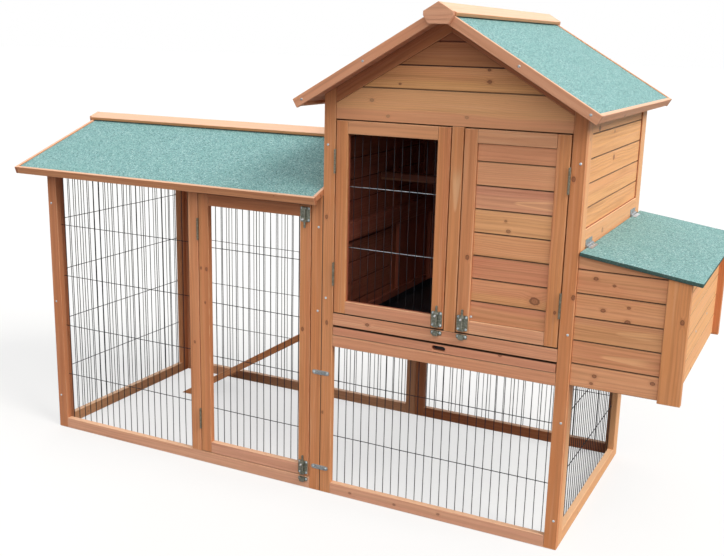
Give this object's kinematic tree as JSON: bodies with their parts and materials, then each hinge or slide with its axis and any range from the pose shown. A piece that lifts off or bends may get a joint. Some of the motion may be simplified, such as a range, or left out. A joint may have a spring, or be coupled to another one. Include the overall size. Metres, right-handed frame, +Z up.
{
  "type": "chicken coop",
  "caption": "Raised wooden chicken coop with gabled felt roof, board and mesh doors, pull-out tray, side nest box with hinged lid, and a roofed mesh run with ramp and door.",
  "frame": {"origin": "on the ground, under the middle of the coop's outer box", "axes": "+X along the front towards the nest box, +Y from the front to the back, +Z up"},
  "size_m": [2.077, 0.91, 1.3637],
  "materials": {
    "frame_wood": "planed fir, orange-brown stain",
    "board_wood": "planed fir boards, orange-brown stain, knots",
    "trim_wood": "planed fir, light orange-brown stain",
    "inner_wood": "sawn fir, orange-brown stain",
    "felt": "green mineral-faced bitumen felt",
    "net_wire": "dull welded wire",
    "zinc": "zinc plated",
    "tray_metal": "dark coated sheet"
  },
  "bodies": {
    "coop": {"bolt_keepers": "zinc", "hinge_frame_leaves": "zinc", "hinge_pins": "zinc", "house_back_boards": "board_wood", "house_back_frame": "frame_wood", "house_front_boards": "board_wood", "house_front_frame": "frame_wood", "house_left_boards": "board_wood", "house_left_frame": "frame_wood", "house_nets": "net_wire", "house_ridge_boards": "trim_wood", "house_right_boards": "board_wood", "house_right_frame": "frame_wood", "house_roof_decks": "inner_wood", "house_roof_edging": "trim_wood", "house_roof_felts": "felt", "nest_corner_boards": "board_wood", "nest_dividers": "inner_wood", "nest_end_boards": "board_wood", "nest_floor": "inner_wood", "nest_side_boards": "board_wood", "panel_screws": "zinc", "perch": "inner_wood", "pop_door_guides": "inner_wood", "ramp_board": "inner_wood", "ridge_end_caps": "trim_wood", "run_back_frame": "frame_wood", "run_front_frame": "frame_wood", "run_gable_boards": "board_wood", "run_left_frame": "frame_wood", "run_nets": "net_wire", "run_ridge_boards": "trim_wood", "run_roof_decks": "inner_wood", "run_roof_edging": "trim_wood", "run_roof_felts": "felt", "tie_straps": "zinc", "tray_runners": "inner_wood"},
    "run_door": {"run_door_frame": "frame_wood", "run_door_net": "net_wire", "run_door_leaves": "zinc", "run_bolt_plates": "zinc"},
    "mesh_door": {"mesh_door_frame": "frame_wood", "mesh_door_net": "net_wire", "mesh_door_leaves": "zinc", "mesh_bolt_plate": "zinc"},
    "board_door": {"board_door_frame": "frame_wood", "board_door_boards": "board_wood", "board_door_leaves": "zinc", "board_bolt_plate": "zinc"},
    "nest_lid": {"lid_board": "inner_wood", "lid_felt": "felt", "lid_leaves": "zinc"},
    "tray": {"tray_front": "board_wood", "tray_pan": "tray_metal"},
    "pop_panel": {"pop_door": "inner_wood"},
    "top_bolt": {"run_top_bolt": "zinc"},
    "bottom_bolt": {"run_bottom_bolt": "zinc"},
    "mesh_bolt": {"mesh_door_bolt": "zinc"},
    "board_bolt": {"board_door_bolt": "zinc"}
  },
  "joints": [
    {"name": "run_door_hinge", "type": "hinge", "parent": "coop", "child": "run_door", "pos_m": [-0.3665, -0.3643, 0.142], "axis": [0, 0, -1], "range_deg": [0, 160]},
    {"name": "mesh_door_hinge", "type": "hinge", "parent": "coop", "child": "mesh_door", "pos_m": [0.082, -0.3643, 0.651], "axis": [0, 0, -1], "range_deg": [0, 105]},
    {"name": "board_door_hinge", "type": "hinge", "parent": "coop", "child": "board_door", "pos_m": [0.711, -0.3643, 0.651], "axis": [0, 0, 1], "range_deg": [0, 160]},
    {"name": "nest_lid_hinge", "type": "hinge", "parent": "coop", "child": "nest_lid", "pos_m": [0.7498, -0.271, 0.79437], "axis": [0, -1, 0], "range_deg": [0, 95]},
    {"name": "tray_slide", "type": "slide", "parent": "coop", "child": "tray", "axis": [0, -1, 0], "range_m": [0, 0.55]},
    {"name": "pop_door_slide", "type": "slide", "parent": "coop", "child": "pop_panel", "axis": [0, -1, 0], "range_m": [0, 0.217]},
    {"name": "run_top_bolt_slide", "type": "slide", "parent": "run_door", "child": "top_bolt", "axis": [0, 0, 1], "range_m": [0, 0.017]},
    {"name": "run_bottom_bolt_slide", "type": "slide", "parent": "run_door", "child": "bottom_bolt", "axis": [0, 0, -1], "range_m": [0, 0.017]},
    {"name": "mesh_door_bolt_slide", "type": "slide", "parent": "mesh_door", "child": "mesh_bolt", "axis": [0, 0, -1], "range_m": [0, 0.017]},
    {"name": "board_door_bolt_slide", "type": "slide", "parent": "board_door", "child": "board_bolt", "axis": [0, 0, -1], "range_m": [0, 0.017]}
  ]
}
